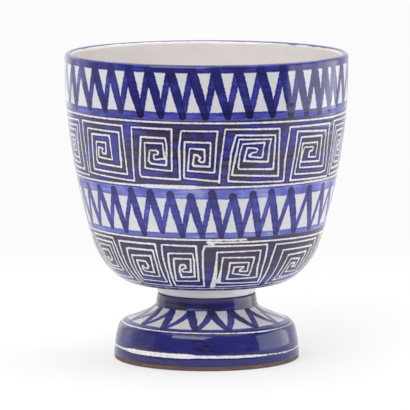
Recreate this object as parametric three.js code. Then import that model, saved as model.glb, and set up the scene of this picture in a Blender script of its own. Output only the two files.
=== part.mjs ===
// Footed ceramic bowl of krater shape, thrown in two sections and luted together.
// Millimetres, +Z up, origin on the axis in the plane that the foot stands on.

import * as THREE from 'three';

// The bowl
const RIM_RADIUS = 115;
const BOWL_HEIGHT = 186.9;
const BOWL_WALL = 6;
const BOWL_FLOOR = 8;
const RIM_STRAIGHT = 11;
const UPPER_WALL_PULL = 67;
const BELLY_RADIUS = 91.7;
const BELLY_RISE = 30.7;
const BELLY_LEAN = 68.7;
const LOWER_WALL_PULL = 12.7;
const BELLY_PULL = 22.5;
const UNDERSIDE_PULL = 7.5;
const UNDERSIDE_RADIUS = 60;

// The foot
const FOOT_RADIUS = 75.5;
const FOOT_HEIGHT = 61.4;
const FOOT_WALL = 6;
const FOOT_EDGE = 1.4;
const PLINTH_WALL_HEIGHT = 25.5;
const PLINTH_TAPER = 3.1;
const SHOULDER_RISE = 5.5;
const SHOULDER_RUN = 5.3;
const FLARE_RISE = 16.3;
const FLARE_REACH = 26.9;
const FLARE_LIFT = 9.5;
const STEM_RADIUS = 41;
const STEM_TAPER = 0.8;

// The joint between them
const COLLAR_THICKNESS = 4;
const COLLAR_HEIGHT = 9;
const COLLAR_BULGE = 1.2;
const SLIP_THICKNESS = 1.1;
const COIL_WIDTH = 6.5;
const COIL_HEIGHT = 7;
const CLEARANCE = 0.3;

// Facets
const TURN_SEGMENTS = 64;
const CURVE_STEPS = 7;
const SMALL_CURVE_STEPS = 4;

// Heights that follow from the sizes above
const SLIP_BOTTOM = FOOT_HEIGHT + CLEARANCE;
const SLIP_TOP = SLIP_BOTTOM + SLIP_THICKNESS;
const UNDERSIDE = SLIP_TOP + CLEARANCE;
const RIM = UNDERSIDE + BOWL_HEIGHT;
const STEM_TOP_RADIUS = STEM_RADIUS - STEM_TAPER;
const NECK_RADIUS = STEM_TOP_RADIUS - COLLAR_THICKNESS;
const THROAT_RADIUS = NECK_RADIUS - FOOT_WALL;
const COLLAR_BOTTOM = SLIP_TOP - COLLAR_HEIGHT;
const NECK_BOTTOM = COLLAR_BOTTOM - CLEARANCE;

const point = (radius, height) => new THREE.Vector2(radius, height);

// Points along one curve, without its first point, so that curves can be chained.
function along(curve, steps) {
  return curve.getPoints(steps).slice(1);
}

function cubic(start, startPull, endPull, end, steps = CURVE_STEPS) {
  return along(new THREE.CubicBezierCurve(start, startPull, endPull, end), steps);
}

// An arc of a lip or an edge, round its centre, angles in degrees.
function arc(centre, radius, from, to, steps = SMALL_CURVE_STEPS) {
  const points = [];
  for (let i = 0; i <= steps; i += 1) {
    const angle = THREE.MathUtils.degToRad(from + ((to - from) * i) / steps);
    points.push(point(centre.x + radius * Math.cos(angle), centre.y + radius * Math.sin(angle)));
  }
  return points;
}

// The same outline moved to its left by a wall that grows evenly from one end to the other.
function wallInside(outline, startWall, endWall) {
  const last = outline.length - 1;
  return outline.map((here, i) => {
    const before = outline[Math.max(i - 1, 0)];
    const after = outline[Math.min(i + 1, last)];
    const direction = after.clone().sub(before).normalize();
    const wall = startWall + ((endWall - startWall) * i) / last;
    return point(here.x - direction.y * wall, here.y + direction.x * wall);
  });
}

// Turns a closed outline about the upright axis, as the clay was turned on the wheel.
function thrown(name, outline, color, roughness) {
  const geometry = new THREE.LatheGeometry(outline, TURN_SEGMENTS);
  geometry.rotateX(Math.PI / 2);
  const material = new THREE.MeshStandardMaterial({ color, roughness, metalness: 0 });
  const mesh = new THREE.Mesh(geometry, material);
  mesh.name = name;
  return mesh;
}

// Outside of the bowl from the middle of its level underside up to the foot of the lip.
function bowlOutside() {
  const lean = THREE.MathUtils.degToRad(BELLY_LEAN);
  const slope = point(Math.cos(lean), Math.sin(lean));
  const flatEdge = point(UNDERSIDE_RADIUS, UNDERSIDE);
  const belly = point(BELLY_RADIUS, UNDERSIDE + BELLY_RISE);
  const top = point(RIM_RADIUS, RIM - RIM_STRAIGHT);
  return [
    point(0, UNDERSIDE),
    flatEdge,
    ...cubic(
      flatEdge,
      point(UNDERSIDE_RADIUS + UNDERSIDE_PULL, UNDERSIDE),
      belly.clone().addScaledVector(slope, -BELLY_PULL),
      belly,
    ),
    ...cubic(
      belly,
      belly.clone().addScaledVector(slope, LOWER_WALL_PULL),
      point(RIM_RADIUS, top.y - UPPER_WALL_PULL),
      top,
    ),
  ];
}

// An open hollow bowl with a round lip, its floor a little thicker than its wall.
function makeBowl() {
  const outside = bowlOutside();
  const inside = wallInside(outside, BOWL_FLOOR, BOWL_WALL).reverse();
  const lipCentre = point(RIM_RADIUS - BOWL_WALL / 2, RIM - BOWL_WALL / 2);
  const lip = arc(lipCentre, BOWL_WALL / 2, 0, 180, 2 * SMALL_CURVE_STEPS);
  const outline = [...outside, ...lip, ...inside];
  return thrown('bowl', outline, 0x3a3c86, 0.2);
}

// The hollow flare between the plinth and the stem, outside, from the plinth up.
function flareOutside() {
  const shoulderTop = point(
    FOOT_RADIUS - PLINTH_TAPER - SHOULDER_RUN,
    PLINTH_WALL_HEIGHT + SHOULDER_RISE,
  );
  const stemStart = point(STEM_RADIUS, shoulderTop.y + FLARE_RISE);
  return [
    shoulderTop,
    ...cubic(
      shoulderTop,
      point(shoulderTop.x - FLARE_REACH, shoulderTop.y + FLARE_LIFT),
      point(STEM_RADIUS, stemStart.y - FOOT_WALL / 2),
      stemStart,
      CURVE_STEPS + 1,
    ),
  ];
}

// A hollow pedestal, open beneath, standing on a narrow ring, with a neck for the collar.
function makeFoot() {
  const plinthTop = point(FOOT_RADIUS - PLINTH_TAPER, PLINTH_WALL_HEIGHT);
  const flare = flareOutside();
  const hollowFlare = wallInside(flare, FOOT_WALL, STEM_RADIUS - THROAT_RADIUS).reverse();
  const hollowEnd = hollowFlare[hollowFlare.length - 1];
  const insideRadius = FOOT_RADIUS - FOOT_WALL - FOOT_EDGE;
  const outline = [
    ...arc(point(FOOT_RADIUS - FOOT_EDGE, FOOT_EDGE), FOOT_EDGE, -90, 0),
    ...cubic(
      point(FOOT_RADIUS, FOOT_EDGE),
      point(FOOT_RADIUS, PLINTH_WALL_HEIGHT / 2),
      point(plinthTop.x + PLINTH_TAPER / 2, PLINTH_WALL_HEIGHT * 0.8),
      plinthTop,
      SMALL_CURVE_STEPS,
    ),
    ...cubic(
      plinthTop,
      point(plinthTop.x - SHOULDER_RUN / 9, plinthTop.y + SHOULDER_RISE / 2),
      point(flare[0].x + SHOULDER_RUN * 0.4, flare[0].y - SHOULDER_RISE * 0.12),
      flare[0],
      SMALL_CURVE_STEPS,
    ),
    ...flare.slice(1),
    point(STEM_TOP_RADIUS, NECK_BOTTOM - FOOT_EDGE),
    point(STEM_TOP_RADIUS - FOOT_EDGE, NECK_BOTTOM),
    point(NECK_RADIUS, NECK_BOTTOM),
    point(NECK_RADIUS, FOOT_HEIGHT),
    point(THROAT_RADIUS, FOOT_HEIGHT),
    ...hollowFlare,
    ...cubic(
      hollowEnd,
      point(insideRadius, hollowEnd.y - SHOULDER_RISE / 2),
      point(insideRadius, hollowEnd.y - SHOULDER_RISE),
      point(insideRadius, PLINTH_WALL_HEIGHT / 2),
      SMALL_CURVE_STEPS,
    ),
    point(insideRadius, FOOT_EDGE),
    point(insideRadius + FOOT_EDGE, 0),
    point(FOOT_RADIUS - FOOT_EDGE, 0),
  ];
  return thrown('foot', outline, 0x30327a, 0.22);
}

// The ring of clay worked round the outside of the joint, in the foot's neck.
function makeCollar() {
  const inside = NECK_RADIUS + CLEARANCE;
  const outside = STEM_TOP_RADIUS;
  const low = COLLAR_BOTTOM;
  const outline = [
    point(inside, low),
    point(outside - FOOT_EDGE, low),
    ...cubic(
      point(outside - FOOT_EDGE, low),
      point(outside + COLLAR_BULGE, low),
      point(outside + COLLAR_BULGE, low + COLLAR_HEIGHT / 2),
      point(outside - FOOT_EDGE / 2, SLIP_TOP),
    ),
    point(inside, SLIP_TOP),
    point(inside, low),
  ];
  return thrown('luting_collar', outline, 0xd9cfcb, 0.25);
}

// The bed of slip that joins the top of the foot to the bowl's underside.
function makeSlipJoint() {
  const outline = [
    point(THROAT_RADIUS, SLIP_BOTTOM),
    point(NECK_RADIUS, SLIP_BOTTOM),
    point(NECK_RADIUS, SLIP_TOP),
    point(THROAT_RADIUS, SLIP_TOP),
    point(THROAT_RADIUS, SLIP_BOTTOM),
  ];
  return thrown('slip_joint', outline, 0xb08a72, 0.8);
}

// The coil pressed into the corner of the joint from inside the hollow foot.
function makeInnerCoil() {
  const outside = THROAT_RADIUS - CLEARANCE;
  const low = SLIP_TOP - COIL_HEIGHT;
  const bottom = point(outside, low);
  const innerTop = point(outside - COIL_WIDTH, SLIP_TOP);
  const outline = [
    bottom,
    point(outside, SLIP_TOP),
    innerTop,
    ...cubic(
      innerTop,
      point(innerTop.x, SLIP_TOP - COIL_HEIGHT / 2),
      point(outside - COIL_WIDTH / 2, low),
      bottom,
    ),
  ];
  return thrown('inner_joint_coil', outline, 0xa97a60, 0.8);
}

const krater = new THREE.Group();
krater.add(makeBowl(), makeFoot(), makeCollar(), makeSlipJoint(), makeInnerCoil());

export default krater;
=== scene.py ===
# Footed ceramic bowl of krater shape: the tin glaze, the cobalt brushwork and the lines
# scratched through it, laid over the packed clay body. Sizes here are in millimetres and
# become metres in the meshes. Angles round the bowl are in degrees from the front.
import math
import random

import bpy
import numpy as np
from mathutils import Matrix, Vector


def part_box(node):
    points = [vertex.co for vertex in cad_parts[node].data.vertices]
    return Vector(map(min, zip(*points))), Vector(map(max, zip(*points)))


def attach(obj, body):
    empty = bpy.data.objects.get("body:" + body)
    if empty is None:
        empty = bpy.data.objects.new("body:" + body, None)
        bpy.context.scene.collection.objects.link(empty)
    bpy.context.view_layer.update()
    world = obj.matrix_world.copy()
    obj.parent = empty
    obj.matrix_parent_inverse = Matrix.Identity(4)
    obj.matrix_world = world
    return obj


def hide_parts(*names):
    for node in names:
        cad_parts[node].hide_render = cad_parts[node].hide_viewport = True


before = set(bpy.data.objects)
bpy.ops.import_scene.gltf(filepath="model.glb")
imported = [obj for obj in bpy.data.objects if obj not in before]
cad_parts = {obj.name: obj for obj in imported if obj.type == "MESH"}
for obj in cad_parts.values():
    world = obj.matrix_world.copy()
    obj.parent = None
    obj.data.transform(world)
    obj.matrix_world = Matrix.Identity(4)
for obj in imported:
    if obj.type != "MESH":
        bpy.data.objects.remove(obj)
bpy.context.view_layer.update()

MM = 0.001
FULL_TURN = 360

# Sizes of the clay body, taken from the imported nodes
BOWL_LOW, BOWL_HIGH = [[value / MM for value in corner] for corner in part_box("bowl")]
FOOT_HIGH = [[value / MM for value in corner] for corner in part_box("foot")][1]
COLLAR_LOW, COLLAR_HIGH = [[value / MM for value in corner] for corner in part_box("luting_collar")]
RIM_RADIUS = BOWL_HIGH[0]
RIM = BOWL_HIGH[2]
UNDERSIDE = BOWL_LOW[2]
FOOT_RADIUS = FOOT_HIGH[0]
FOOT_TOP = FOOT_HIGH[2]

# The seams between the glaze coats, which lie in the plain washes
LIP_SEAM = RIM - 0.15
UPPER_SEAM = 206.4
MIDDLE_SEAM = 150.9
LOWER_SEAM = 110.9
BELLY_SEAM = 64.4
NECK_SEAM = 53.3
STEM_SEAM = 43.5
SHOULDER_SEAM = 31.2
BASE_SEAM = 3.6
SEAM_GAP = 0.1

# The bowl's outline as radius and height, with the pulls of its curves
WALL = 6
BOWL_FLOOR = 8
FLOOR_CORNER_RADIUS = 50
FLOOR_CORNER_WIDTH = 30
UNDERSIDE_EDGE = (60, UNDERSIDE)
UNDERSIDE_PULL = (67.5, UNDERSIDE)
BELLY = (91.7, UNDERSIDE + 30.7)
BELLY_PUSH = (83.53, BELLY[1] - 20.96)
BELLY_PULL = (96.31, BELLY[1] + 11.83)
SIDE_PUSH = (RIM_RADIUS, RIM - 78)
SIDE_TOP = (RIM_RADIUS, RIM - 11)
LIP_CENTRE = (RIM_RADIUS - WALL / 2, RIM - WALL / 2)
LIP_CROWN = 72
LIP_STEP = 12

# The foot's outline in the same way
STAND = 1.4
PLINTH_PULL = (FOOT_RADIUS, 12.75)
PLINTH_PUSH = (73.95, 20.4)
PLINTH_TOP = (FOOT_RADIUS - 3.1, 25.5)
SHOULDER_PULL = (71.81, 28.25)
SHOULDER_PUSH = (69.22, 30.34)
SHOULDER = (PLINTH_TOP[0] - 5.3, 31)
STEM_RADIUS = 41
FLARE_PULL = (40.2, 40.5)
FLARE_PUSH = (STEM_RADIUS, 44.3)
STEM_START = (STEM_RADIUS, 47.3)
STEM_EDGE = (STEM_RADIUS - 0.8, 52.1)
STEM_TOP = (STEM_RADIUS - 1.2, NECK_SEAM)
NECK_RADIUS = 36.2
THROAT_RADIUS = NECK_RADIUS - WALL
THROAT_END = (THROAT_RADIUS, 47.1)
HOLLOW_PULL = (THROAT_RADIUS + 1, 37)
HOLLOW_PUSH = (44, 31)
HOLLOW_CORNER = (64.5, 25.4)
CORNER_PULL = (67.5, 23.6)
CORNER_PUSH = (68.1, 20)
HOLLOW_RADIUS = 68.1
HOLLOW_STRAIGHT = 12.75

NECK_LEDGE = NECK_SEAM + 0.2

# The collar's outline
JOINT_GAP = 0.3
COLLAR_EDGE = STEM_RADIUS - 2.2
COLLAR_BULGE = 2.6
COLLAR_LEAN = 0.7
COLLAR_RISE = 4.5

# How finely the clay is meshed: columns round it, and the height of a row
BOWL_COLUMNS = 368
BOWL_ROW = 2.5
FOOT_COLUMNS = 304
FOOT_ROW = 1.5
COLLAR_COLUMNS = 240

# How the clay and the glaze are laid
COAT = 0.25
BEDDING = 0.5
BACKING_STEP = 9
BACK_FROM = 0.35
GROOVE_DEPTH = 0.14
GROOVE_EDGE = 0.5
SWING = 0.22
SECOND_SWING = 0.12
FINGER_RING = 0.05
FINGER_PITCH = 7.5
STEADY_BELOW = 3
STEADY_RUN = 12
STEADY_WITHIN = 20
DOUBLINGS = 4
DOUBLES_WITHIN = 0.02
FAR = 9.0
PATH_REACH = 7

# The maps on each piece
BRUSH_UNIT = 100
MAP_MARGIN = 0.005
STRIP_MARGIN = 0.01
BACK_END = 0.98

draw = random.Random(8)


def srgb(red, green, blue):
    """A colour read as it shows on a screen, 0 to 255, as linear light."""
    parts = [value / 255 for value in (red, green, blue)]
    return [p / 12.92 if p < 0.04045 else ((p + 0.055) / 1.055) ** 2.4 for p in parts] + [1.0]


# Outlines

def cubic(start, pull, push, end, steps=60):
    """A curve without its first point, so that curves can be chained."""
    t = np.linspace(0, 1, steps + 1)[1:, None]
    start, pull, push, end = [np.array(p, float) for p in (start, pull, push, end)]
    near_start = (1 - t) ** 3 * start + 3 * (1 - t) ** 2 * t * pull
    curve = near_start + 3 * (1 - t) * t ** 2 * push + t ** 3 * end
    return [tuple(p) for p in curve]


def arc(centre, radius, start, end, steps):
    angles = [math.radians(start + (end - start) * i / steps) for i in range(steps + 1)]
    return [(centre[0] + radius * math.cos(a), centre[1] + radius * math.sin(a)) for a in angles]


def bowl_wall():
    """Outside of the bowl from the edge of its level underside to the crown of the lip."""
    under = cubic(UNDERSIDE_EDGE, UNDERSIDE_PULL, BELLY_PUSH, BELLY)
    side = cubic(BELLY, BELLY_PULL, SIDE_PUSH, SIDE_TOP)
    return [UNDERSIDE_EDGE] + under + side + arc(LIP_CENTRE, WALL / 2, 0, LIP_CROWN, 12)


def foot_wall():
    """Outside of the foot from its standing edge up to the neck."""
    wall = cubic((FOOT_RADIUS, STAND), PLINTH_PULL, PLINTH_PUSH, PLINTH_TOP)
    wall += cubic(PLINTH_TOP, SHOULDER_PULL, SHOULDER_PUSH, SHOULDER)
    wall += cubic(SHOULDER, FLARE_PULL, FLARE_PUSH, STEM_START)
    return [(FOOT_RADIUS, STAND)] + wall + [STEM_EDGE, STEM_TOP]


def spaced(points, step):
    """The same line with its points evenly spaced, about a step apart."""
    points = np.array(points, float)
    run = np.concatenate([[0], np.cumsum(np.hypot(*np.diff(points, axis=0).T))])
    count = max(2, round(run[-1] / step))
    places = np.linspace(0, run[-1], count + 1)
    return np.stack([np.interp(places, run, points[:, i]) for i in (0, 1)], 1)


def moved_out(points, amount):
    """A line moved to its right, which is outwards on a wall drawn from the foot up."""
    points = np.array(points, float)
    direction = np.gradient(points, axis=0)
    direction /= np.hypot(*direction.T)[:, None]
    return points + amount * np.stack([direction[:, 1], -direction[:, 0]], 1)


def part_of(wall, low, high):
    """The stretch of a wall between two heights."""
    wall = np.array(wall, float)
    kept = wall[(wall[:, 1] > low) & (wall[:, 1] < high)]
    ends = [(np.interp(z, wall[:, 1], wall[:, 0]), z) for z in (low, high)]
    return [ends[0]] + [tuple(p) for p in kept] + [ends[1]]


# Throwing

def thrown(name, outline, columns):
    """Draws half of the section as a chain of edges, spins one sector and copies it round."""
    bpy.ops.object.select_all(action="DESELECT")
    bpy.ops.mesh.primitive_plane_add(size=MM, location=(0, 0, 0))
    piece = bpy.context.object
    piece.name = piece.data.name = name
    bpy.ops.object.mode_set(mode="EDIT")
    bpy.ops.mesh.select_all(action="SELECT")
    bpy.ops.mesh.merge(type="CENTER")
    bpy.ops.transform.translate(value=(0, outline[0][0] * MM, outline[0][1] * MM))
    for here, after in zip(outline, outline[1:]):
        step = (0, (after[0] - here[0]) * MM, (after[1] - here[1]) * MM)
        bpy.ops.mesh.extrude_region_move(TRANSFORM_OT_translate={"value": step})
    bpy.ops.mesh.select_all(action="SELECT")
    sector = 2 * math.pi / 2 ** DOUBLINGS
    steps = round(columns / 2 ** DOUBLINGS)
    bpy.ops.mesh.spin(steps=steps, angle=sector, center=(0, 0, 0), axis=(0, 0, 1))
    for doubling in range(DOUBLINGS):
        bpy.ops.mesh.select_all(action="SELECT")
        bpy.ops.mesh.duplicate()
        turn = sector * 2 ** doubling
        bpy.ops.transform.rotate(value=turn, orient_axis="Z", center_override=(0, 0, 0))
    bpy.ops.mesh.select_all(action="SELECT")
    bpy.ops.mesh.remove_doubles(threshold=DOUBLES_WITHIN * MM)
    bpy.ops.mesh.normals_make_consistent(inside=False)
    bpy.ops.object.mode_set(mode="OBJECT")
    bpy.ops.object.shade_smooth()
    return piece


def places(piece):
    """Every vertex as angle, radius and height."""
    count = len(piece.data.vertices)
    flat = np.empty(count * 3, np.float32)
    piece.data.vertices.foreach_get("co", flat)
    x, y, z = flat.reshape(-1, 3).astype(float).T / MM
    return np.degrees(np.arctan2(x, -y)), np.hypot(x, y), z


def place(piece, angle, radius, height):
    turn = np.radians(angle)
    points = np.stack([radius * np.sin(turn), -radius * np.cos(turn), height], 1) * MM
    piece.data.vertices.foreach_set("co", points.astype(np.float32).ravel())
    piece.data.update()


def throw_unevenly(piece):
    """The slight swing and the finger rings that a wheel leaves in the wall."""
    angle, radius, height = places(piece)
    turn = np.radians(angle)
    swing = SWING * np.sin(2 * turn + 1.1 + 0.012 * height)
    swing = swing + SECOND_SWING * np.sin(3 * turn - 0.8 + 0.03 * height)
    rings = FINGER_RING * np.sin(height * 2 * math.pi / FINGER_PITCH + turn)
    share = np.clip((height - STEADY_BELOW) / STEADY_RUN, 0, 1) * np.clip(radius / STEADY_WITHIN, 0, 1)
    place(piece, angle, radius + (swing + rings) * share, height)


class Surface:
    """A glazed wall measured round its turn and along its height."""

    def __init__(self, piece, wall):
        wall = np.array(wall, float)
        self.angle, self.radius, self.height = places(piece)
        self.wall_heights = wall[:, 1]
        self.wall_runs = np.concatenate([[0], np.cumsum(np.hypot(*np.diff(wall, axis=0).T))])
        self.run = self.run_at(self.height)

    def run_at(self, heights):
        return np.interp(heights, self.wall_heights, self.wall_runs)

    def nothing(self):
        """Distances as far from any mark as they are kept."""
        return np.full(len(self.angle), FAR)

    def to_path(self, path, widths):
        """Signed distance to a brush or needle path, less than nothing inside its width."""
        angles = np.array([p[0] for p in path], float)
        runs = self.run_at([p[1] for p in path])
        middle = (angles.min() + angles.max()) / 2
        span = (angles.max() - angles.min()) / 2 + PATH_REACH
        turned = (self.angle - middle + FULL_TURN / 2) % FULL_TURN - FULL_TURN / 2
        near = np.abs(turned) < span
        scale = np.radians(1) * self.radius[near]
        best = np.full(near.sum(), FAR)
        widths = np.broadcast_to(widths, len(path))
        for i in range(len(path) - 1):
            ax = (angles[i] - middle - turned[near]) * scale
            ay = runs[i] - self.run[near]
            bx = (angles[i + 1] - middle - turned[near]) * scale
            by = runs[i + 1] - self.run[near]
            ex, ey = bx - ax, by - ay
            along = np.clip(-(ax * ex + ay * ey) / (ex ** 2 + ey ** 2 + 1e-6), 0, 1)
            gap = np.hypot(ax + along * ex, ay + along * ey)
            best = np.minimum(best, gap - (widths[i] + (widths[i + 1] - widths[i]) * along))
        result = self.nothing()
        result[near] = best
        return result

    def to_ring(self, heights, widths):
        """Signed distance to a line that runs round, given by heights and half widths at angles."""
        level = np.interp(self.angle, *zip(*heights), period=FULL_TURN)
        width = np.interp(self.angle, *zip(*widths), period=FULL_TURN)
        return np.abs(self.run - self.run_at(level)) - width


def keep(piece, name, values):
    attribute = piece.data.attributes.new(name, "FLOAT", "POINT")
    attribute.data.foreach_set("value", np.clip(values, -FAR, FAR).astype(np.float32))


def unroll(piece, behind, strips=1):
    """A map in brush scale for the streaks, and a map in strips for the bake."""
    mesh = piece.data
    angle, radius, height = places(piece)
    corners = np.empty(len(mesh.loops), np.int32)
    mesh.loops.foreach_get("vertex_index", corners)
    totals = np.empty(len(mesh.polygons), np.int32)
    mesh.polygons.foreach_get("loop_total", totals)
    face = np.repeat(np.arange(len(totals)), totals)
    turn = np.radians(angle[corners])
    middle_x = np.bincount(face, np.sin(turn) * radius[corners])
    middle_y = np.bincount(face, np.cos(turn) * radius[corners])
    middle = np.degrees(np.arctan2(middle_x, middle_y))[face]
    beside = (angle[corners] - middle + FULL_TURN / 2) % FULL_TURN - FULL_TURN / 2
    unwrapped = np.where(radius[corners] < 0.1, middle, middle + beside)
    brush = mesh.uv_layers.new(name="Brush")
    round_wall = np.radians(unwrapped) * radius.max() / BRUSH_UNIT
    across = np.stack([round_wall, height[corners] / BRUSH_UNIT], 1)
    brush.data.foreach_set("uv", across.astype(np.float32).ravel())
    bake = mesh.uv_layers.new(name="OFBake")
    strip = np.clip(np.floor((middle + FULL_TURN / 2) / FULL_TURN * strips), 0, strips - 1)
    u = (unwrapped + FULL_TURN / 2) / FULL_TURN * strips - strip
    level = ((height - height.min()) / (height.max() - height.min()))[corners]
    hidden = (np.bincount(face, behind[corners].astype(float)) / totals > 0.5)[face]
    front_end = 0.9 if strips > 1 else 0.5
    v = np.where(hidden, front_end + (BACK_END - front_end) * level, front_end * level)
    u = MAP_MARGIN + (1 - 2 * MAP_MARGIN) * u
    v = (strip + STRIP_MARGIN + (1 - 2 * STRIP_MARGIN) * v) / strips
    bake.data.foreach_set("uv", np.clip(np.stack([u, v], 1), 0, 1).astype(np.float32).ravel())


# Materials

class Finish:
    """A node material built by short calls, each of which gives back a socket."""

    def __init__(self, name):
        self.material = bpy.data.materials.new(name)
        self.material.use_nodes = True
        self.tree = self.material.node_tree
        self.shader = self.tree.nodes["Principled BSDF"]

    def node(self, kind, **settings):
        made = self.tree.nodes.new(kind)
        for key, value in settings.items():
            setattr(made, key, value)
        return made

    def feed(self, socket, value):
        if isinstance(value, bpy.types.NodeSocket):
            self.tree.links.new(value, socket)
        elif value is not None:
            socket.default_value = value

    def object_place(self):
        return self.node("ShaderNodeTexCoord").outputs["Object"]

    def height(self):
        split = self.node("ShaderNodeSeparateXYZ")
        self.feed(split.inputs[0], self.object_place())
        return self.math("MULTIPLY", split.outputs["Z"], 1 / MM)

    def radius(self):
        """Distance from the upright axis."""
        flat = self.node("ShaderNodeVectorMath", operation="MULTIPLY")
        self.feed(flat.inputs[0], self.object_place())
        flat.inputs[1].default_value = (1 / MM, 1 / MM, 0)
        length = self.node("ShaderNodeVectorMath", operation="LENGTH")
        self.feed(length.inputs[0], flat.outputs[0])
        return length.outputs["Value"]

    def brush_place(self, stretch):
        spread = self.node("ShaderNodeMapping")
        brush_map = self.node("ShaderNodeUVMap", uv_map="Brush")
        self.feed(spread.inputs["Vector"], brush_map.outputs["UV"])
        spread.inputs["Scale"].default_value = stretch
        return spread.outputs["Vector"]

    def noise(self, where, scale, detail=3.0, roughness=0.55, swirl=0.0):
        made = self.node("ShaderNodeTexNoise")
        self.feed(made.inputs["Vector"], where)
        made.inputs["Scale"].default_value = scale
        made.inputs["Detail"].default_value = detail
        made.inputs["Roughness"].default_value = roughness
        made.inputs["Distortion"].default_value = swirl
        return made.outputs["Fac"]

    def kept(self, name):
        return self.node("ShaderNodeAttribute", attribute_name=name).outputs["Fac"]

    def math(self, kind, first, second=None, clamp=False):
        made = self.node("ShaderNodeMath", operation=kind, use_clamp=clamp)
        self.feed(made.inputs[0], first)
        self.feed(made.inputs[1], second)
        return made.outputs[0]

    def either_way(self, noise, amount):
        """A noise turned into a change up or down, by half the amount each way."""
        return self.math("MULTIPLY", self.math("SUBTRACT", noise, 0.5), amount)

    def ramp(self, value, low, high, to_low=0.0, to_high=1.0):
        made = self.node("ShaderNodeMapRange", interpolation_type="SMOOTHSTEP")
        for socket, setting in zip(made.inputs, (value, low, high, to_low, to_high)):
            self.feed(socket, setting)
        return made.outputs[0]

    def mix(self, share, first, second):
        made = self.node("ShaderNodeMix", data_type="RGBA")
        self.feed(made.inputs["Factor"], share)
        self.feed(made.inputs[6], first)
        self.feed(made.inputs[7], second)
        return made.outputs[2]

    def shades(self, value, stops):
        made = self.node("ShaderNodeValToRGB")
        elements = made.color_ramp.elements
        while len(elements) < len(stops):
            elements.new(0.5)
        for element, (position, colour) in zip(elements, stops):
            element.position = position
            element.color = srgb(*colour)
        self.feed(made.inputs[0], value)
        return made.outputs[0]

    def bump(self, height, distance, strength=1.0, onto=None):
        made = self.node("ShaderNodeBump")
        made.inputs["Distance"].default_value = distance
        made.inputs["Strength"].default_value = strength
        self.feed(made.inputs["Height"], height)
        if onto:
            self.feed(made.inputs["Normal"], onto)
        return made.outputs["Normal"]

    def glaze(self, colour, waviness, extra=None):
        """Glassy glaze: a little uneven, with faint pits and a slight change of gloss."""
        where = self.object_place()
        self.feed(self.shader.inputs["Base Color"], colour)
        gloss = self.ramp(self.noise(where, scale=60), 0.3, 0.7, SHINIEST, LEAST_SHINY)
        self.feed(self.shader.inputs["Roughness"], gloss)
        self.shader.inputs["IOR"].default_value = GLAZE_IOR
        wave = self.bump(self.noise(where, scale=45, detail=2), waviness * MM)
        pits = self.ramp(self.noise(where, scale=900, detail=1), 0.26, 0.2)
        normal = self.bump(self.math("MULTIPLY", pits, -1), PIT_DEPTH * MM, 0.5, wave)
        if extra is not None:
            normal = self.bump(extra, SCRATCH_DEPTH * MM, 0.6, normal)
        self.feed(self.shader.inputs["Normal"], normal)
        return self.material


# The surface of the glaze
SHINIEST = 0.07
LEAST_SHINY = 0.16
GLAZE_IOR = 1.5
PAINTED_WAVE = 0.35
PLAIN_WAVE = 0.3
PIT_DEPTH = 0.05
SCRATCH_DEPTH = 0.12

# How a noise is drawn out round the wall, up it, and through it
STREAK_STRETCH = (1, 7, 1)
PATCH_STRETCH = (0.8, 1.3, 1)
MOTTLE_STRETCH = (1, 2.2, 1)
TURNING_STRETCH = (0.05, 30, 1)

# The painter's cobalt by its depth, from 0, bare, to 1, black, and the other colours
COBALT = [
    (0.0, (222, 220, 220)),
    (0.12, (176, 180, 212)),
    (0.3, (102, 108, 198)),
    (0.45, (68, 68, 164)),
    (0.6, (38, 38, 116)),
    (0.8, (22, 20, 66)),
    (1.0, (13, 10, 32)),
]
UMBER = (74, 58, 82)
DEEP_UMBER = (46, 37, 62)
HAZE = (120, 110, 135)
TIN_WHITE = (238, 236, 236)
TIN_SHADE = (214, 212, 224)
BOWL_WHITES = ((218, 213, 210), (227, 222, 219))
# The collar's tin glaze, painted lighter than the bowl's to stand in for the light on the collar
COLLAR_WHITES_PAINTED_LIGHTER = ((240, 236, 240), (250, 247, 250))
BLUSH = (220, 205, 200)
IRON_SPECKS = (150, 130, 120)
CROWN_BLUE = (44, 44, 116)
CLAYS = ((98, 78, 72), (124, 94, 84))
CLAY_GRIT = (84, 58, 52)
# Painted shade for the ledge in the gap under the collar
COLLAR_LEDGE_PAINTED_SHADE = (34, 30, 52)
JOINT_CLAYS = (("slip_joint", (176, 138, 114)), ("inner_joint_coil", (165, 122, 98)))

# The heights where the rim's band begins, and how deep the cobalt gets there and where strokes meet
RIM_BAND_START = 243.2
RIM_BAND_END = 243.9
RIM_BAND_DEPTH = 0.13
CROSSING_SHARE = 0.07
OVERLAP_SHARE = 0.26
DEEPEST = 1.2
DEEPEST_IN_BAND = 0.5


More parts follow.
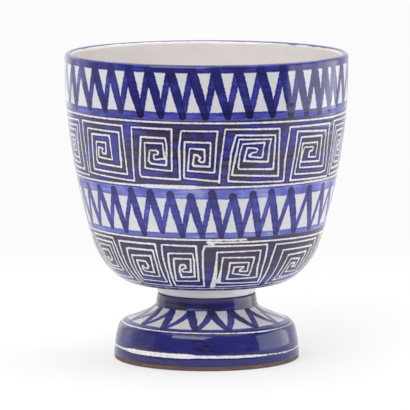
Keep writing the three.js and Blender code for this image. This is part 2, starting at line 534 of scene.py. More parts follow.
def painted(name, ground, mottling=0.0, blue_below=None, haze_above=None,
            heavy=0.6, light=0.54, washed=0.42):
    """Cobalt under a clear shine. ground is the wash all over, from 0, bare, to 1, black."""
    make = Finish(name)
    along = make.brush_place(STREAK_STRETCH)
    clouded = make.brush_place(PATCH_STRETCH)
    streaks = make.noise(along, scale=5.5, detail=4, roughness=0.65)
    patches = make.noise(clouded, scale=4.2, detail=4, roughness=0.6, swirl=0.6)
    grain = make.noise(make.object_place(), scale=520, detail=2)
    rag = make.either_way(make.noise(make.object_place(), scale=420, detail=2), 1.5)
    if ground:
        pigment = make.math("ADD", ground, make.either_way(streaks, 0.36))
        pigment = make.math("ADD", pigment, make.either_way(patches, 0.24))
    else:
        pigment = make.math("MULTIPLY", grain, 0.02)
    laid = {}
    for coat, depth in (("wash", washed), ("down_stroke", heavy), ("up_stroke", light)):
        edge = make.math("ADD", make.kept(coat), rag)
        inside = make.ramp(edge, 0.35, -0.45)
        rim = make.ramp(make.math("ABSOLUTE", make.math("ADD", edge, 0.8)), 1.0, 0.1, 0.0, 0.06)
        body = make.math("ADD", depth, make.either_way(streaks, 0.35))
        body = make.math("ADD", body, make.either_way(patches, 0.5))
        laid[coat] = make.math("MULTIPLY", inside, make.math("ADD", body, rim))
    strokes = make.math("MAXIMUM", laid["down_stroke"], laid["up_stroke"])
    crossed = make.math("MINIMUM", laid["down_stroke"], laid["up_stroke"])
    deepest = make.math("MAXIMUM", strokes, laid["wash"])
    second = make.math("MINIMUM", strokes, laid["wash"])
    deepest = make.math("ADD", deepest, make.math("MULTIPLY", crossed, CROSSING_SHARE))
    deepest = make.math("ADD", deepest, make.math("MULTIPLY", second, OVERLAP_SHARE))
    in_band = make.ramp(make.math("ADD", make.height(), rag), RIM_BAND_START, RIM_BAND_END)
    most = make.ramp(in_band, 0.0, 1.0, DEEPEST, DEEPEST_IN_BAND)
    deepest = make.math("MINIMUM", deepest, most)
    rim_band = make.math("MULTIPLY", in_band, RIM_BAND_DEPTH)
    pigment = make.math("ADD", pigment, make.math("ADD", deepest, rim_band))
    scratch = make.math("ADD", make.kept("scratch"), make.math("MULTIPLY", rag, 0.55))
    beside = make.math("ABSOLUTE", make.math("SUBTRACT", scratch, 0.55))
    piled = make.ramp(beside, 0.75, 0.1, 0.0, 0.16)
    pigment = make.math("ADD", pigment, piled, clamp=True)
    colour = make.shades(pigment, COBALT)
    if mottling:
        blotched = make.brush_place(MOTTLE_STRETCH)
        spread = make.noise(blotched, scale=3.1, detail=5, roughness=0.62, swirl=0.8)
        share = make.ramp(spread, 0.62 - mottling * 0.4, 0.72 - mottling * 0.3, 0.0, 0.9)
        if blue_below:
            browner = make.ramp(make.height(), blue_below - 5, blue_below + 6)
            share = make.math("MULTIPLY", share, browner)
        umber = make.mix(make.ramp(streaks, 0.3, 0.7), srgb(*UMBER), srgb(*DEEP_UMBER))
        colour = make.mix(share, colour, umber)
    if haze_above:
        haze = make.ramp(make.height(), haze_above - 3, haze_above + 2, 0.0, 0.4)
        colour = make.mix(haze, colour, srgb(*HAZE))
    cleared = make.ramp(scratch, 0.12, -0.3)
    bared = make.mix(make.ramp(grain, 0.35, 0.75), srgb(*TIN_WHITE), srgb(*TIN_SHADE))
    colour = make.mix(cleared, colour, bared)
    return make.glaze(colour, PAINTED_WAVE, make.math("MULTIPLY", cleared, -1))


def tin_glaze(name, whites, blue_crown=False):
    """White opaque glaze, thin and pinkish in places where the clay shows through."""
    make = Finish(name)
    where = make.object_place()
    cloud = make.ramp(make.noise(where, scale=14, detail=4), 0.3, 0.7)
    colour = make.mix(cloud, srgb(*whites[0]), srgb(*whites[1]))
    blush = make.ramp(make.noise(where, scale=30, detail=4), 0.55, 0.75, 0.0, 0.35)
    colour = make.mix(blush, colour, srgb(*BLUSH))
    specks = make.ramp(make.noise(where, scale=700, detail=1), 0.24, 0.18, 0.0, 0.5)
    colour = make.mix(specks, colour, srgb(*IRON_SPECKS))
    if blue_crown:
        rag = make.math("MULTIPLY", make.noise(where, scale=80, detail=3), 1.6)
        reach = make.math("ADD", make.radius(), rag)
        outer = make.ramp(reach, RIM_RADIUS - 4.6, RIM_RADIUS - 3.8)
        crown = make.math("MULTIPLY", outer, make.ramp(make.height(), RIM - 4, RIM - 3))
        colour = make.mix(crown, colour, srgb(*CROWN_BLUE))
    return make.glaze(colour, PLAIN_WAVE)


def foot_clay():
    """Bare red clay, with painted shade on the ledge under the collar."""
    make = Finish("foot_clay")
    where = make.object_place()
    grit = make.noise(where, scale=900, detail=3)
    broad = make.noise(where, scale=60, detail=4)
    colour = make.mix(make.ramp(broad, 0.3, 0.7), srgb(*CLAYS[0]), srgb(*CLAYS[1]))
    colour = make.mix(make.ramp(grit, 0.5, 0.7, 0.0, 0.5), colour, srgb(*CLAY_GRIT))
    # Painted shade: the ledge between the stem coat and the collar is darkened as if the collar shaded
    # it
    outside = make.ramp(make.radius(), THROAT_RADIUS + 2, THROAT_RADIUS + 4)
    collar_shade_mask = make.math("MULTIPLY", outside, make.ramp(make.height(), 51.5, 52))
    colour = make.mix(collar_shade_mask, colour, srgb(*COLLAR_LEDGE_PAINTED_SHADE))
    make.feed(make.shader.inputs["Base Color"], colour)
    make.feed(make.shader.inputs["Roughness"], make.ramp(grit, 0.2, 0.8, 0.7, 0.9))
    turning = make.noise(make.brush_place(TURNING_STRETCH), scale=6, detail=2)
    normal = make.bump(turning, 0.25 * MM, 0.6)
    make.feed(make.shader.inputs["Normal"], make.bump(grit, 0.15 * MM, 0.7, normal))
    return make.material


def joint_clay(name, colour):
    """Slip and coil clay as a finger leaves it, a little darker in patches."""
    make = Finish(name)
    where = make.object_place()
    grit = make.noise(where, scale=1100, detail=3)
    patch = make.ramp(make.noise(where, scale=90, detail=4), 0.3, 0.7)
    tone = make.mix(patch, srgb(*colour), srgb(*[part * 0.82 for part in colour]))
    make.feed(make.shader.inputs["Base Color"], tone)
    make.feed(make.shader.inputs["Roughness"], make.ramp(grit, 0.2, 0.8, 0.72, 0.92))
    finger = make.bump(make.noise(where, scale=120, detail=2), 0.4 * MM, 0.6)
    make.feed(make.shader.inputs["Normal"], make.bump(grit, 0.12 * MM, 0.7, finger))
    return make.material


# Painting. The hidden strokes repeat the heights of the first few that are seen

SEEN_REPEAT = 5
STROKE_END = 0.74
STROKE_START = 0.85
WIDEST_LANE = 2.7
LINK = 3.6
WIDE_SQUARE = 24


def jitter(amount):
    return draw.uniform(-amount, amount)


def nearest(first, *others):
    """The least of several signed distances."""
    for other in others:
        first = np.minimum(first, other)
    return first


def zigzag(surface, tops, bottoms, heavy, light, pitch):
    """Brush strokes down and up between two rows of turning points, on round the hidden side."""
    tops = list(tops)
    bottoms = list(bottoms)
    start = tops[-1][0]
    room = FULL_TURN - (start - tops[0][0])
    count = round(room / pitch)
    step = room / count
    for i in range(count):
        low = bottoms[i % SEEN_REPEAT][1]
        bottoms.append((start + step * (i + 0.5) + jitter(0.7), low + jitter(1)))
        if i < count - 1:
            high = tops[i % SEEN_REPEAT][1]
            tops.append((start + step * (i + 1) + jitter(0.7), high + jitter(1)))
    tops.append((tops[0][0] + FULL_TURN, tops[0][1]))
    down = surface.nothing()
    up = surface.nothing()
    for top, bottom, after in zip(tops, bottoms, tops[1:]):
        bend = ((top[0] + bottom[0]) / 2 + jitter(0.25), (top[1] + bottom[1]) / 2)
        widths = (heavy, heavy + jitter(0.3), heavy * STROKE_END)
        down = nearest(down, surface.to_path([top, bend, bottom], widths))
        widths = (light * STROKE_START, light + jitter(0.25))
        up = nearest(up, surface.to_path([bottom, after], widths))
    return down, up


def spiral(start, end, low, high, turns):
    """One square of the running key, in from the upper left and out again at the lower right."""
    across = min(WIDEST_LANE, (end - start) / (3 * turns))
    rise = (high - low) / (3.2 * turns + 0.4)

    def corner(column, row, from_right=False, from_top=False):
        angle = end - across * column if from_right else start + across * column
        level = high - rise * row if from_top else low + rise * row
        return angle + jitter(0.25), level + jitter(0.5)

    path = [corner(0, 0), corner(0, 0, from_top=True)]
    for turn in range(turns - 1):
        ring = 2 * turn
        path.append(corner(ring, ring, True, True))
        path.append(corner(ring, ring + 1, True))
        path.append(corner(ring + 2, ring + 1))
        path.append(corner(ring + 2, ring + 2, from_top=True))
    middle = (start + end) / 2
    heart = (low + high) / 2
    last = 2 * (turns - 1)
    path.append((middle + across * 0.9, high - rise * last))
    path.append((middle + across * 0.9, heart + rise * 0.4))
    path.append((middle - across * 0.4, heart - rise * 0.2))
    path.append((middle + across * 0.2, heart - rise * 0.9))
    path.append(corner(last - 1, last, True))
    for turn in range(turns - 2, -1, -1):
        ring = 2 * turn + 1
        path.append(corner(ring, ring, True, True))
        path.append(corner(ring, ring, from_top=True))
        path.append(corner(ring, max(ring - 1, 0)))
        if turn:
            path.append(corner(ring - 1, ring - 1, True))
    path.append((end + LINK, low + jitter(0.4)))
    return path


def scratched(surface, path, width):
    """A needle line, pressed a little more and less along its way."""
    return surface.to_path(path, [width * draw.uniform(0.82, 1.2) for point in path])


def running_key(surface, seen, low, high, width, count):
    """The seen squares as they are scratched, and like ones for the side that is turned away."""
    scratch = surface.nothing()
    for path in seen:
        scratch = nearest(scratch, scratched(surface, path, width))
    here = seen[-1][-1][0]
    room = seen[0][0][0] + FULL_TURN - here
    shares = [draw.uniform(0.8, 1.2) for i in range(count)]
    for share in shares:
        span = room * share / sum(shares)
        path = spiral(here, here + span - LINK, low, high, 4 if span > WIDE_SQUARE else 3)
        path[-1] = (here + span, low)
        scratch = nearest(scratch, scratched(surface, path, width))
        here += span
    return scratch


# What is painted and scratched, as angle from the front in degrees and height in millimetres

TOP_ROW = 246
UPPER_TOPS = [(angle, TOP_ROW) for angle in (
    -60.4, -50.8, -41.6, -32.4, -23.6, -14.8, -6.0, 3.2, 12.4, 21.6, 31.6, 39.2, 48.0, 54.8, 61.2,
)]
UPPER_BOTTOMS = [
    (-54.4, 211.7), (-44.8, 211.7), (-36.5, 211.7), (-27.2, 209.7), (-18.5, 209.7), (-9.6, 209),
    (-0.4, 208.7), (8.4, 209.3), (17.4, 210), (27.2, 209.7), (36.0, 207.3), (44.0, 209),
    (52.0, 208.7), (59.2, 210),
]
LOWER_TOPS = [
    (-64.5, 146.5), (-54.6, 146.7), (-44.5, 147.3), (-34.6, 147.7), (-25.2, 147), (-16.0, 146.3),
    (-7.0, 144.7), (2.2, 147.7), (11.4, 144.7), (20.4, 146), (29.2, 147), (39.6, 147.3),
    (51.0, 147), (62.5, 146.5),
]
LOWER_BOTTOMS = [
    (-60, 116.3), (-50, 116), (-40.8, 114), (-30.4, 112.7), (-20.8, 115.7), (-11.2, 112.7),
    (-2.0, 112), (6.8, 112.3), (16.0, 112.3), (25.0, 112), (34.4, 111.7), (45.6, 111.3),
    (57.6, 110.7),
]
FOOT_TOPS = [(-62.5, 43), (-40.8, 43), (-17.6, 43), (4.8, 43), (26.8, 43), (50.4, 43)]
FOOT_BOTTOMS = [(-54, 31.8), (-32.4, 31.6), (-7.6, 31.6), (15.2, 31.6), (37.6, 31.8)]

UPPER_KEY = [
    [(-61.2, 158), (-61.4, 200.5), (-36.5, 200), (-35.9, 180), (-35.5, 161), (-56, 162),
     (-54.6, 190.8), (-43.5, 191), (-43, 171.6), (-51.3, 172.5), (-50.8, 180.5), (-48, 180),
     (-48.5, 178.3), (-49, 177), (-48, 175.8), (-46.4, 176), (-46, 185), (-52, 185), (-53, 170),
     (-52.3, 167.6), (-38.3, 166.3), (-38.3, 194.5), (-57.5, 195), (-59, 170), (-59.7, 158.5),
     (-32.3, 156)],
    [(-32.3, 156), (-31.8, 199.5), (-14.2, 199.2), (-14.7, 165.5), (-26.5, 167), (-26, 187.5),
     (-18.2, 187.5), (-17.8, 178), (-17.3, 175.5), (-21.5, 174.2), (-22.3, 175), (-22.2, 178.3),
     (-20.6, 178.3), (-20.2, 180.3), (-21, 181.7), (-24, 181.5), (-24.7, 173), (-23.5, 170.7),
     (-17, 170), (-16.5, 185), (-17, 191.8), (-27.6, 192), (-29, 170), (-29.2, 162), (-28.5, 159.8),
     (-11.3, 158.8)],
    [(-11.3, 159), (-11.3, 185), (-10.3, 198), (4.4, 197.8), (3.9, 190), (3.2, 164.5), (-7.9, 166),
     (-7, 184), (-1, 183.3), (-0.8, 175), (-1.2, 173), (-2.5, 173), (-3.3, 174.5), (-2.6, 176.5),
     (-4, 178.8), (-5.1, 179), (-5.8, 171), (-5.5, 170), (1.2, 169.4), (1.6, 188.6), (-9, 189.2),
     (-9.6, 160), (5, 157.3)],
    [(5.2, 156), (5.7, 170), (7.4, 199.3), (30.8, 198.3), (31.2, 175), (31.7, 160), (10.5, 162.4),
     (12, 178), (13.2, 191), (27.2, 190.3), (26.5, 185), (26.3, 172), (15.5, 173.5), (16.7, 184),
     (20, 183.6), (21.3, 182.5), (20.8, 180.2), (19, 180), (17.7, 178), (17.7, 177), (22.5, 175.7),
     (23.5, 176), (23.8, 183), (24.3, 187.7), (14.7, 187.2), (13.7, 180), (13.2, 168.5), (13.6, 167),
     (29, 166), (29, 193.3), (11.9, 194.4), (10, 180), (9, 158.5), (9.2, 157.4), (20, 156),
     (34.8, 155.5)],
    [(34.8, 155.8), (34.5, 172), (35.9, 199), (61, 198.3), (60.5, 190), (61, 178), (62, 160),
     (58, 158.8), (40.4, 160.2), (41.5, 180), (42.2, 190), (55.3, 189.5), (55.4, 168.7),
     (43, 169.8), (44.5, 181.5), (50, 181), (49.7, 178), (48, 177.8), (47.4, 173.2), (52.5, 172.5),
     (52.6, 184.5), (43.3, 184.8), (42.8, 165.3), (59, 163.8), (58.3, 178), (58.2, 193),
     (39.9, 195), (39.5, 180), (38.3, 155.5), (64.5, 154.6)],
]
LOWER_KEY = [
    [(-72.5, 69), (-72, 106.2), (-52.1, 106.3), (-50.9, 99.5), (-50, 87), (-50, 72.5), (-69, 72.5),
     (-68.5, 98.6), (-56.3, 98.8), (-55.7, 92), (-56.2, 81), (-64.5, 81), (-64, 88), (-62, 88),
     (-62.3, 86), (-61, 85.5), (-59, 87), (-58.7, 91), (-59.3, 94.5), (-66.5, 94.6), (-67, 78.4),
     (-53.3, 78.5), (-53, 92), (-53.6, 102), (-70.5, 102.3), (-70.8, 69), (-45.8, 68.4)],
    [(-45.8, 68.4), (-47.3, 85), (-47.75, 104.5), (-25.6, 104.7), (-25.15, 95), (-24.1, 72),
     (-40.8, 72.5), (-41.2, 80), (-40.8, 93.5), (-29, 94.5), (-29.6, 80), (-35.6, 80.6),
     (-36.5, 82.5), (-35.5, 85.6), (-34.6, 83.3), (-33, 83), (-31.9, 85.5), (-32.9, 89.3),
     (-38.3, 89.8), (-38.4, 77), (-27.1, 76.5), (-26.6, 87), (-27.2, 99.3), (-41.6, 99.3),
     (-43.2, 98.6), (-43.6, 86), (-43, 68.8), (-22.4, 68.6)],
    [(-22.4, 68.4), (-21.6, 80), (-22.3, 95), (-22.1, 104.5), (-5.2, 104.2), (-4.6, 87),
     (-4.5, 74), (-17.7, 73.4), (-17, 87), (-16.6, 93.3), (-8, 93.3), (-8.4, 82), (-12.7, 82),
     (-13, 83.5), (-12.4, 85), (-11, 85.2), (-10.9, 87), (-11.5, 88.3), (-13.3, 88), (-14, 86.5),
     (-14.5, 82), (-13.9, 77.2), (-6.6, 77.8), (-6.4, 92), (-6.9, 98), (-19.3, 97.5), (-19.6, 87),
     (-19.6, 68.8), (-1.6, 69)],
    [(-1.6, 69), (-2, 87), (-1.9, 99.5), (-1, 104.2), (30.8, 103.8), (30.9, 92), (30.7, 84.5),
     (32.3, 71), (7.6, 72), (7.3, 80), (8, 94.4), (24.5, 93.8), (24, 82), (23.9, 78), (13.9, 80.3),
     (14.4, 86), (19.4, 86.3), (19.6, 85.5), (17.6, 83.5), (17.8, 82), (22, 81.8), (22, 89.5),
     (11.8, 89.8), (11.8, 82), (11.3, 75.4), (29.3, 75.8), (27.6, 84), (27.5, 99.3), (5, 99),
     (4.8, 87), (4.4, 77), (3.4, 68.6), (34.4, 68.6)],
    [(34.4, 68.8), (34.8, 92), (35.9, 103.2), (69, 102.6), (70, 76), (44.3, 71), (44.7, 82),
     (45.9, 92.8), (61.2, 93.2), (61, 77), (50.2, 77.5), (50.1, 82), (51, 84.8), (54.3, 85),
     (54.5, 83.5), (53.4, 82.4), (53.8, 81.5), (56.7, 81.5), (57.3, 88), (49.2, 89), (47.7, 82),
     (47.4, 73.5), (63, 73.5), (65.7, 95), (65.9, 97.4), (41.2, 97.7), (40.5, 87), (39.4, 68.5),
     (74, 68)],
]

# Places where the needle broke out the glaze: a path and its half widths
UPPER_RAGGED = [([(-38.3, 179), (-38.2, 172)], (1.0, 1.3))]
LOWER_RAGGED = [
    ([(4.9, 92), (4.6, 80), (3.6, 68.5)], (0.9, 1.6, 2.2)),
    ([(7.5, 84), (7, 76), (6.5, 72.5)], (0.8, 1.5, 1.6)),
    ([(0.8, 106.8), (3.2, 105.8)], (1.4, 1.0)),
]

# Lines that run round: heights at angles, then half widths at angles, less than nothing for no line
UPPER_KEY_TOP = ([(-60, 205), (0, 204.2), (60, 203.2), (180, 204.5)], [(-60, 0.8), (60, 0.8)])
UPPER_KEY_LOW = (
    [(-60, 152.8), (0, 152.5), (60, 152.3), (180, 153)],
    [(-60, 0.8), (-30, 0.9), (-26, 1.6), (-6, 1.7), (-2, 0.9), (60, 0.8)],
)
LOWER_KEY_TOP = (
    [(-70, 109.7), (20, 109.2), (100, 109.4), (180, 109.6)],
    [(-180, 0.8), (19, 0.8), (22, -2), (150, -2), (152, 0.8)],
)
LOWER_KEY_SECOND = (
    [(0, 107.2), (40, 106.8), (70, 106), (150, 108)],
    [(-2, -2), (0, 0.8), (150, 0.8), (158, -2)],
)
LOWER_KEY_LOW = ([(-60, 66.3), (0, 66.5), (60, 66.2)], [(-60, 0.5), (0, 0.6), (60, 0.5)])
PLINTH_UPPER_LINE = (
    [(-60, 30.2), (0, 30), (40, 29.2), (180, 30)],
    [(-60, 0.7), (40, 0.7), (60, 0.4)],
)
PLINTH_LOWER_LINE = (
    [(-60, 11.9), (-9, 11.8), (30, 11), (60, 10.3), (180, 11.5)],
    [(-62, 0.8), (-54, 1.8), (-12, 1.9), (-6, 1.2), (30, 1.1), (40, 0.5), (180, 0.6)],
)
PLINTH_SWEEP = ([(-9, 27), (-4, 21), (3, 14)], (2.6, 4.2, 3.0))

# Washes as the heights that they run between
RIM_WASH = (243.8, 262)
UPPER_WASH = (203, 212.6)
MIDDLE_WASH = (143, 154)
LOWER_WASH = (108, 115.2)
STEM_WASH = (40, 49.5)
SHOULDER_WASH = (30.4, 32.2)


# Building

def glaze_coat(name, wall, low, high, columns, row, finish, paint, strips):
    """One band of glaze, as a thin closed ring bedded in the clay, with its brushwork."""
    shown = moved_out(spaced(part_of(wall, low, high), row), COAT)
    backing = moved_out(spaced(part_of(wall, low, high), BACKING_STEP), -BEDDING)[::-1]
    outline = [tuple(p) for p in shown] + [tuple(p) for p in backing] + [tuple(shown[0])]
    piece = thrown(name, outline, columns)
    glazed_wall = np.array(moved_out(wall, COAT))
    surface = Surface(piece, glazed_wall)
    face = np.interp(surface.height, surface.wall_heights, glazed_wall[:, 0])
    behind = surface.radius < face - BACK_FROM
    marks = paint(surface)
    for mark in ("wash", "down_stroke", "up_stroke", "scratch"):
        keep(piece, mark, marks.get(mark, surface.nothing()))
    unroll(piece, behind, strips)
    scratch = marks.get("scratch")
    if scratch is not None:
        sunk = np.clip(GROOVE_EDGE - scratch, 0, 1) * GROOVE_DEPTH
        sunk[behind] = 0
        place(piece, surface.angle, surface.radius - sunk, surface.height)
    throw_unevenly(piece)
    piece.data.materials.append(finish)
    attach(piece, "root")


def band(surface, heights, sway=0.5):
    """Signed distance to a wash between two heights, with the slow sway of a turning wheel."""
    low, high = heights
    turn = np.radians(surface.angle)
    lift = sway * (0.6 * np.sin(turn * 3 + low) + 0.4 * np.sin(turn * 7 + high))
    middle = (surface.run_at(low) + surface.run_at(high)) / 2
    half = (surface.run_at(high) - surface.run_at(low)) / 2
    return np.abs(surface.run - middle - lift) - half


def paint_upper_zigzag(surface):
    down, up = zigzag(surface, UPPER_TOPS, UPPER_BOTTOMS, heavy=3.9, light=3.0, pitch=9.1)
    wash = nearest(band(surface, RIM_WASH, sway=0), band(surface, UPPER_WASH))
    return {"wash": wash, "down_stroke": down, "up_stroke": up}


def paint_upper_key(surface):
    scratch = running_key(surface, UPPER_KEY, low=156, high=199.5, width=0.76, count=10)
    ragged = [surface.to_path(path, widths) for path, widths in UPPER_RAGGED]
    rings = [surface.to_ring(*ring) for ring in (UPPER_KEY_TOP, UPPER_KEY_LOW)]
    return {"scratch": nearest(scratch, *ragged, *rings)}


def paint_lower_zigzag(surface):
    down, up = zigzag(surface, LOWER_TOPS, LOWER_BOTTOMS, heavy=3.3, light=2.4, pitch=9.6)
    wash = nearest(band(surface, MIDDLE_WASH), band(surface, LOWER_WASH))
    return {"wash": wash, "down_stroke": down, "up_stroke": up}


def paint_lower_key(surface):
    scratch = running_key(surface, LOWER_KEY, low=68.6, high=104.5, width=0.8, count=8)
    ragged = [surface.to_path(path, widths) for path, widths in LOWER_RAGGED]
    rings = [surface.to_ring(*ring) for ring in (LOWER_KEY_TOP, LOWER_KEY_SECOND, LOWER_KEY_LOW)]
    return {"scratch": nearest(scratch, *ragged, *rings)}


def paint_stem(surface):
    return {"down_stroke": band(surface, STEM_WASH, sway=1.0)}


def paint_flare(surface):
    down, up = zigzag(surface, FOOT_TOPS, FOOT_BOTTOMS, heavy=3.5, light=2.9, pitch=22.6)
    return {"wash": band(surface, SHOULDER_WASH, sway=0.2), "down_stroke": down, "up_stroke": up}


def paint_plinth(surface):
    rings = [surface.to_ring(*ring) for ring in (PLINTH_UPPER_LINE, PLINTH_LOWER_LINE)]
    return {"scratch": nearest(*rings), "up_stroke": surface.to_path(*PLINTH_SWEEP)}


def body(name, node, outline, columns, slot, finish):
    """One thrown piece of clay, which takes the place of its plain node."""
    piece = thrown(name, outline, columns)
    unroll(piece, np.zeros(len(piece.data.vertices), bool))
    throw_unevenly(piece)
    piece.data.materials.append(finish)
    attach(piece, "root")
    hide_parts(node)


def build_bowl():
    wall = spaced([p for p in bowl_wall() if p[1] <= LIP_CENTRE[1]], BOWL_ROW)
    outside = [(0.0, UNDERSIDE)] + [tuple(p) for p in wall]
    inside = moved_out(wall, -WALL)
    corner = np.clip(1 - (inside[:, 0] - FLOOR_CORNER_RADIUS) / FLOOR_CORNER_WIDTH, 0, 1)
    inside[:, 1] += (BOWL_FLOOR - WALL) * corner
    inside = [tuple(p) for p in inside[::-1]] + [(0.0, UNDERSIDE + BOWL_FLOOR)]
    lip = arc(LIP_CENTRE, WALL / 2, LIP_STEP, 180 - LIP_STEP, 13)
    finish = tin_glaze("tin_glaze", BOWL_WHITES, blue_crown=True)
    body("bowl_body", "bowl", outside + lip + inside, BOWL_COLUMNS, "painted_glaze", finish)


def build_foot():
    base = arc((FOOT_RADIUS - STAND, STAND), STAND, -90, 0, 5)
    wall = [tuple(p) for p in spaced(foot_wall(), FOOT_ROW)[1:]]
    neck = [(NECK_RADIUS, NECK_LEDGE), (NECK_RADIUS, FOOT_TOP)]
    hollow = [(THROAT_RADIUS, FOOT_TOP), THROAT_END]
    hollow += cubic(THROAT_END, HOLLOW_PULL, HOLLOW_PUSH, HOLLOW_CORNER, 24)
    hollow += cubic(HOLLOW_CORNER, CORNER_PULL, CORNER_PUSH, (HOLLOW_RADIUS, HOLLOW_STRAIGHT), 8)
    hollow += [(HOLLOW_RADIUS, STAND)] + arc((HOLLOW_RADIUS + STAND, STAND), STAND, 180, 270, 5)
    outline = base + wall + neck + hollow + [base[0]]
    body("foot_body", "foot", outline, FOOT_COLUMNS, "painted_glaze", foot_clay())


def build_collar():
    low, high = COLLAR_LOW[2], COLLAR_HIGH[2]
    start = (COLLAR_EDGE, low)
    pull = (COLLAR_EDGE + COLLAR_BULGE, low)
    push = (COLLAR_EDGE + COLLAR_BULGE, low + COLLAR_RISE)
    inside = NECK_RADIUS + JOINT_GAP
    outline = [(inside, low), start] + cubic(start, pull, push, (COLLAR_EDGE + COLLAR_LEAN, high), 14)
    outline += [(inside, high), outline[0]]
    # The collar's glaze is the bowl's tin glaze painted lighter, a painted highlight for the light on
    # the collar
    finish = tin_glaze("collar_glaze_painted_lighter", COLLAR_WHITES_PAINTED_LIGHTER)
    body("worked_collar", "luting_collar", outline, COLLAR_COLUMNS, "pale_glaze", finish)


def build_coats():
    zigs = painted("upper_zigzag_glaze", 0.0, heavy=0.6, light=0.53)
    low_zigs = painted("lower_zigzag_glaze", 0.0, heavy=0.52, light=0.46, washed=0.28)
    key = painted("upper_key_glaze", 0.5, mottling=0.5)
    low_key = painted("lower_key_glaze", 0.56, mottling=0.85, blue_below=79)
    plinth = painted("plinth_glaze", 0.64, mottling=0.2, light=0.06)
    stem = painted("stem_glaze", 0.55, mottling=0.35, haze_above=51, heavy=0.1)
    bowl = bowl_wall()
    foot = foot_wall()
    # Name, wall, lowest and highest point, columns, row height, finish, brushwork and map strips
    coats = (
        ("upper_zigzag_coat", bowl, UPPER_SEAM, LIP_SEAM, 816, 0.9, zigs, paint_upper_zigzag, 5),
        ("upper_key_coat", bowl, MIDDLE_SEAM, UPPER_SEAM, 880, 0.75, key, paint_upper_key, 5),
        ("lower_zigzag_coat", bowl, LOWER_SEAM, MIDDLE_SEAM, 800, 0.9, low_zigs, paint_lower_zigzag, 5),
        ("lower_key_coat", bowl, BELLY_SEAM, LOWER_SEAM, 864, 0.75, low_key, paint_lower_key, 4),
        ("stem_coat", foot, STEM_SEAM, NECK_SEAM - SEAM_GAP, 304, 0.9, stem, paint_stem, 3),
        ("flare_coat", foot, SHOULDER_SEAM, STEM_SEAM, 480, 0.8, zigs, paint_flare, 4),
        ("plinth_coat", foot, BASE_SEAM, SHOULDER_SEAM, 560, 0.8, plinth, paint_plinth, 4),
    )
    for coat in coats:
        glaze_coat(*coat)


def dress_joint():
    for name, colour in JOINT_CLAYS:
        finish = joint_clay(name + "_clay", colour)
        for place_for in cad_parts[name].material_slots:
            place_for.material = finish


# The studio, in metres

FLOOR_WIDTH = 1.9
FLOOR_DEPTH = 8.5
FLOOR_FRONT = 0.45
FLOOR_LEVEL = -0.0002
FLOOR_WHITE = (240, 240, 240)
BACKDROP_WHITE = (251, 251, 251)
GLOW_NEAR = 0.12
GLOW_FAR = 0.8
GLOW_LEAST = 0.55
ROOM_LIGHT = 0.22
BACKDROP_LIGHT = 0.96
BACKDROP_FROM = 0.25
BACKDROP_FULL = 0.5
LAMP_AIM = 0.15
# Name, angle, distance, height, width, height of the panel and watts
LAMPS = (
    ("overhead_panel", 180, 0.2, 1.6, 2.2, 2.2, 30),
    ("right_panel", 97, 1.3, 0.1, 1.5, 1.5, 15),
    ("left_panel", -150, 1.3, 0.1, 0.5, 1.5, 1.2),
    ("left_card", -98, 1.3, 0.1, 1.4, 1.5, 2.6),
    ("front_fill", -25, 2.2, 2.0, 2.2, 1.6, 48),
)
LENS = 362.7
SENSOR = 36
CAMERA_DISTANCE = 3.345
CAMERA_HEIGHT = 0.553
CAMERA_AIM = 0.125
CAMERA_SIDEWAYS = -0.0014


def build_floor():
    """A pale floor that glows white towards the back for the camera and keeps its shadow."""
    bpy.ops.object.select_all(action="DESELECT")
    bpy.ops.mesh.primitive_plane_add(size=1, location=(0, 0, 0))
    bpy.ops.object.mode_set(mode="EDIT")
    bpy.ops.mesh.select_all(action="SELECT")
    bpy.ops.transform.resize(value=(FLOOR_WIDTH, FLOOR_DEPTH, 1))
    bpy.ops.transform.translate(value=(0, FLOOR_DEPTH / 2 - FLOOR_FRONT, FLOOR_LEVEL))
    bpy.ops.object.mode_set(mode="OBJECT")
    floor = bpy.context.object
    floor.name = "studio_floor"
    make = Finish("studio_white")
    make.feed(make.shader.inputs["Base Color"], srgb(*FLOOR_WHITE))
    make.feed(make.shader.inputs["Roughness"], 0.9)
    glow = make.node("ShaderNodeEmission")
    glow.inputs["Color"].default_value = srgb(*BACKDROP_WHITE)
    paths = make.node("ShaderNodeLightPath")
    seen = make.math("MAXIMUM", paths.outputs["Is Camera Ray"], paths.outputs["Is Glossy Ray"])
    seen = make.math("MAXIMUM", seen, paths.outputs["Is Transmission Ray"])
    split = make.node("ShaderNodeSeparateXYZ")
    make.feed(split.inputs[0], make.object_place())
    back = make.ramp(split.outputs["Y"], GLOW_NEAR, GLOW_FAR, GLOW_LEAST, 1.0)
    blend = make.node("ShaderNodeMixShader")
    make.feed(blend.inputs[0], make.math("MULTIPLY", seen, back))
    make.feed(blend.inputs[1], make.shader.outputs[0])
    make.feed(blend.inputs[2], glow.outputs[0])
    make.feed(make.tree.nodes["Material Output"].inputs["Surface"], blend.outputs[0])
    floor.data.materials.append(make.material)


def lamp(name, angle, distance, height, width, tall, power):
    """A soft panel turned towards the bowl, its angle measured from the camera's side."""
    data = bpy.data.lights.new(name, "AREA")
    data.shape = "RECTANGLE"
    data.size = width
    data.size_y = tall
    data.energy = power
    panel = bpy.data.objects.new(name, data)
    turn = math.radians(angle)
    panel.location = (distance * math.sin(turn), -distance * math.cos(turn), height)
    away = math.hypot(distance, height - LAMP_AIM)
    panel.rotation_euler = (math.acos((height - LAMP_AIM) / away), 0, turn)
    bpy.context.collection.objects.link(panel)


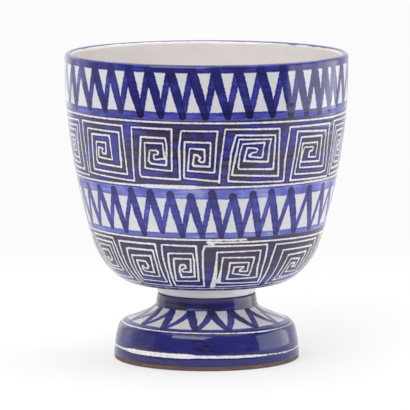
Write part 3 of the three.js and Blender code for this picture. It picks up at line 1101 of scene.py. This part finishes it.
def build_light():
    """A white backdrop behind the bowl, a dim room in front of it, and soft panels all round."""
    world = bpy.data.worlds.new("studio")
    bpy.context.scene.world = world
    world.use_nodes = True
    nodes = world.node_tree.nodes
    links = world.node_tree.links
    paths = nodes.new("ShaderNodeLightPath")
    direction = nodes.new("ShaderNodeTexCoord")
    split = nodes.new("ShaderNodeSeparateXYZ")
    links.new(direction.outputs["Generated"], split.inputs[0])
    behind = nodes.new("ShaderNodeMapRange")
    settings = (BACKDROP_FROM, BACKDROP_FULL, ROOM_LIGHT, BACKDROP_LIGHT)
    for socket, setting in zip(behind.inputs[1:5], settings):
        socket.default_value = setting
    links.new(split.outputs["Y"], behind.inputs[0])
    mirrored = nodes.new("ShaderNodeMath")
    mirrored.operation = "MAXIMUM"
    links.new(paths.outputs["Is Glossy Ray"], mirrored.inputs[0])
    links.new(paths.outputs["Is Transmission Ray"], mirrored.inputs[1])
    reflected = nodes.new("ShaderNodeMix")
    reflected.data_type = "FLOAT"
    reflected.inputs[2].default_value = ROOM_LIGHT
    links.new(mirrored.outputs[0], reflected.inputs[0])
    links.new(behind.outputs[0], reflected.inputs[3])
    straight = nodes.new("ShaderNodeMix")
    straight.data_type = "FLOAT"
    straight.inputs[3].default_value = BACKDROP_LIGHT
    links.new(paths.outputs["Is Camera Ray"], straight.inputs[0])
    links.new(reflected.outputs[0], straight.inputs[2])
    nodes["Background"].inputs["Color"].default_value = (1, 1, 1, 1)
    links.new(straight.outputs[0], nodes["Background"].inputs["Strength"])
    for panel in LAMPS:
        lamp(*panel)


def build_camera():
    data = bpy.data.cameras.new("studio_camera")
    data.lens = LENS
    data.sensor_width = SENSOR
    data.clip_end = 50
    camera = bpy.data.objects.new("studio_camera", data)
    camera.location = (CAMERA_SIDEWAYS, -CAMERA_DISTANCE, CAMERA_HEIGHT)
    drop = math.atan2(CAMERA_HEIGHT - CAMERA_AIM, CAMERA_DISTANCE)
    camera.rotation_euler = (math.radians(90) - drop, 0, 0)
    bpy.context.collection.objects.link(camera)
    bpy.context.scene.camera = camera


build_camera()
build_floor()
build_light()
build_bowl()
build_foot()
build_collar()
build_coats()
dress_joint()
bpy.context.scene.view_settings.view_transform = "Standard"
